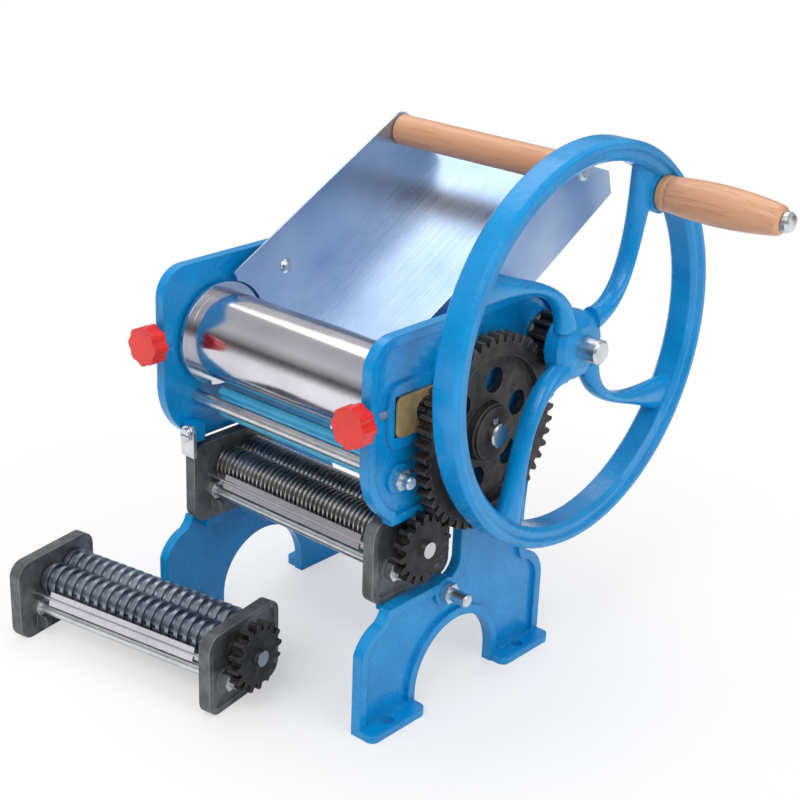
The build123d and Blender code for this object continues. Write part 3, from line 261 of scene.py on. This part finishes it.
finish_of_slot = {
    "blue_paint": hammered_paint(
        "hammered_blue", light=linear(0, 150, 218), dark=linear(0, 138, 206)),
    # The scraper plate's pale cyan is the frames' blue paint made lighter: a painted highlight standing
    # in for light falling on it.
    "pale_blue_paint": hammered_paint(
        "pale_blue", light=linear(96, 205, 248), dark=linear(78, 194, 240)),
    "dark_cast": cast_metal(
        "dark_casting", dark=linear(52, 49, 48), light=linear(84, 79, 76),
        worn=linear(128, 122, 118)),
    "grey_cast": cast_metal(
        "grey_casting", dark=linear(86, 89, 92), light=linear(122, 125, 128),
        worn=linear(176, 178, 180)),
    "bronze": cast_metal(
        "bronze", dark=linear(158, 134, 88), light=linear(184, 160, 112),
        worn=linear(206, 186, 140), metallic=0.35),
    "polished_steel": turned_steel(
        "polished_roller", light=linear(226, 224, 230), dark=linear(196, 194, 202)),
    "zinc_steel": zinc_plating(
        "zinc_plating", light=linear(226, 228, 230), dark=linear(200, 204, 208)),
    "red_plastic": moulded_plastic(
        "red_plastic", light=linear(238, 44, 32), dark=linear(220, 34, 26)),
    "wood": turned_wood(
        "turned_wood", light=linear(226, 174, 138), middle=linear(214, 158, 120),
        dark=linear(202, 142, 104), pore=linear(186, 124, 84)),
}
# The tray's blue tint is a painted reflection, not the colour of the steel sheet.
sheet_with_painted_reflection = tray_sheet("tray_sheet", light=linear(206, 220, 240), dark=linear(150, 180, 218))
ridged_steel = turned_steel(
    "ridged_steel", light=linear(206, 206, 206), dark=linear(168, 168, 168),
    low=0.2, high=0.34, ring_scale=450)
dull_ridged_steel = turned_steel(
    "dull_ridged_steel", light=linear(168, 174, 184), dark=linear(132, 140, 152),
    low=0.24, high=0.38, ring_scale=450)
black_casting = cast_metal(
    "black_casting", dark=linear(24, 24, 26), light=linear(46, 46, 48),
    worn=linear(96, 96, 98), metallic=0.4)

# Pieces whose finish differs from that of their slot.
own_finish = {"feed_tray": sheet_with_painted_reflection, "rear_roller": ridged_steel, "drive_pinion": black_casting}
for box, roller_finish in (("fine", ridged_steel), ("wide", dull_ridged_steel)):
    for side in ("front", "rear"):
        own_finish[f"{box}_{side}_roller"] = roller_finish
        own_finish[f"{box}_{side}_gear"] = black_casting
    own_finish[f"{box}_drive_gear"] = black_casting

slot_of = {part["node"]: part["material_slot"] for part in frame["record"]["subparts"]}
for name, piece in nodes.items():
    finish = own_finish.get(name, finish_of_slot[slot_of[name]])
    if not piece.material_slots:
        piece.data.materials.append(finish)
    for slot in piece.material_slots:
        slot.material = finish


# ---- floor, light and camera ----------------------------------------------------------------
def stage_floor():
    """A wide, plain, pale floor, which the camera sees fade to white away from the object."""
    bpy.ops.mesh.primitive_plane_add(size=FLOOR_SIZE, location=(0, 0, 0))
    floor = bpy.context.object
    floor.name = "floor"
    shader = Shader("floor", Base_Color=grey(FLOOR_GREY), Roughness=0.9, Specular_IOR_Level=0.0)
    distance = shader.add("ShaderNodeVectorMath", operation="LENGTH")
    shader.link(shader.place, distance.inputs[0])
    span = {"From Min": FADE_START, "From Max": FADE_END, "To Min": FADE_LEAST}
    fade = shader.add("ShaderNodeMapRange", span)
    shader.link(distance.outputs["Value"], fade.inputs["Value"])
    whiteness = shader.add("ShaderNodeMath", operation="MULTIPLY")
    shader.feed(whiteness, shader.camera_ray(), fade.outputs["Result"])
    white = shader.add("ShaderNodeEmission", {"Color": WHITE})
    seen = shader.mix_shaders(whiteness.outputs["Value"], shader.surface.outputs["BSDF"],
                              white.outputs["Emission"])
    shader.link(seen, shader.tree.nodes["Material Output"].inputs["Surface"])
    floor.data.materials.append(shader.material)


def sky():
    """White to the camera; to the object a soft room: bright above, dimmer to the sides."""
    world = bpy.data.worlds.new("studio")
    bpy.context.scene.world = world
    world.use_nodes = True
    world.node_tree.nodes.clear()
    tree = Nodes(world.node_tree)
    direction = tree.add("ShaderNodeSeparateXYZ")
    tree.link(tree.add("ShaderNodeTexCoord").outputs["Generated"], direction.inputs["Vector"])
    stops = [(height, (level, level, level * ROOM_BLUE, 1)) for height, level in ROOM_LEVELS]
    room = tree.add("ShaderNodeBackground", {"Strength": ROOM_STRENGTH})
    tree.link(tree.ramp(direction.outputs["Z"], *stops), room.inputs["Color"])
    white = tree.add("ShaderNodeBackground", {"Color": WHITE})
    seen = tree.mix_shaders(tree.camera_ray(), room.outputs["Background"], white.outputs["Background"])
    tree.link(seen, tree.add("ShaderNodeOutputWorld").inputs["Surface"])


def area_light(name, place, target, size, watts):
    """A rectangular lamp at a place, facing its target."""
    light = bpy.data.lights.new(name, "AREA")
    light.shape = "RECTANGLE"
    light.size, light.size_y = size
    light.energy = watts
    lamp = bpy.data.objects.new(name, light)
    bpy.context.scene.collection.objects.link(lamp)
    lamp.location = place
    aim = Vector(target) - Vector(place)
    lamp.rotation_euler = aim.to_track_quat("-Z", "Y").to_euler()


def photo_camera():
    """The camera that the photograph's perspective gives."""
    turn, tilt, roll = map(math.radians, (CAMERA_TURN, CAMERA_TILT, CAMERA_ROLL))
    ahead = Vector((-math.sin(turn) * math.cos(tilt), math.cos(turn) * math.cos(tilt),
                    -math.sin(tilt)))
    level = Vector((math.cos(turn), math.sin(turn), 0))
    upright = level.cross(ahead)
    right = math.cos(roll) * level + math.sin(roll) * upright
    up = -math.sin(roll) * level + math.cos(roll) * upright
    data = bpy.data.cameras.new("photo_camera")
    data.sensor_width = CAMERA_SENSOR_MM
    data.lens = CAMERA_LENS_MM
    data.clip_start = CAMERA_CLIP_START
    camera = bpy.data.objects.new("photo_camera", data)
    bpy.context.scene.collection.objects.link(camera)
    rotation = Matrix((right, up, -ahead)).transposed().to_4x4()
    camera.matrix_world = Matrix.Translation(CAMERA_PLACE) @ rotation
    bpy.context.scene.camera = camera


stage_floor()
sky()
area_light("key", place=(0.3, -1.3, 1.6), target=(0, 0, 0.15), size=(1.2, 0.9), watts=16)
area_light("side", place=(1.6, 0.1, 0.9), target=(0, 0, 0.2), size=(0.8, 1.2), watts=7)
area_light("top", place=(-0.5, 0.5, 1.9), target=(0, 0, 0.1), size=(1.6, 1.6), watts=14)
photo_camera()
bpy.context.scene.view_settings.view_transform = "Standard"
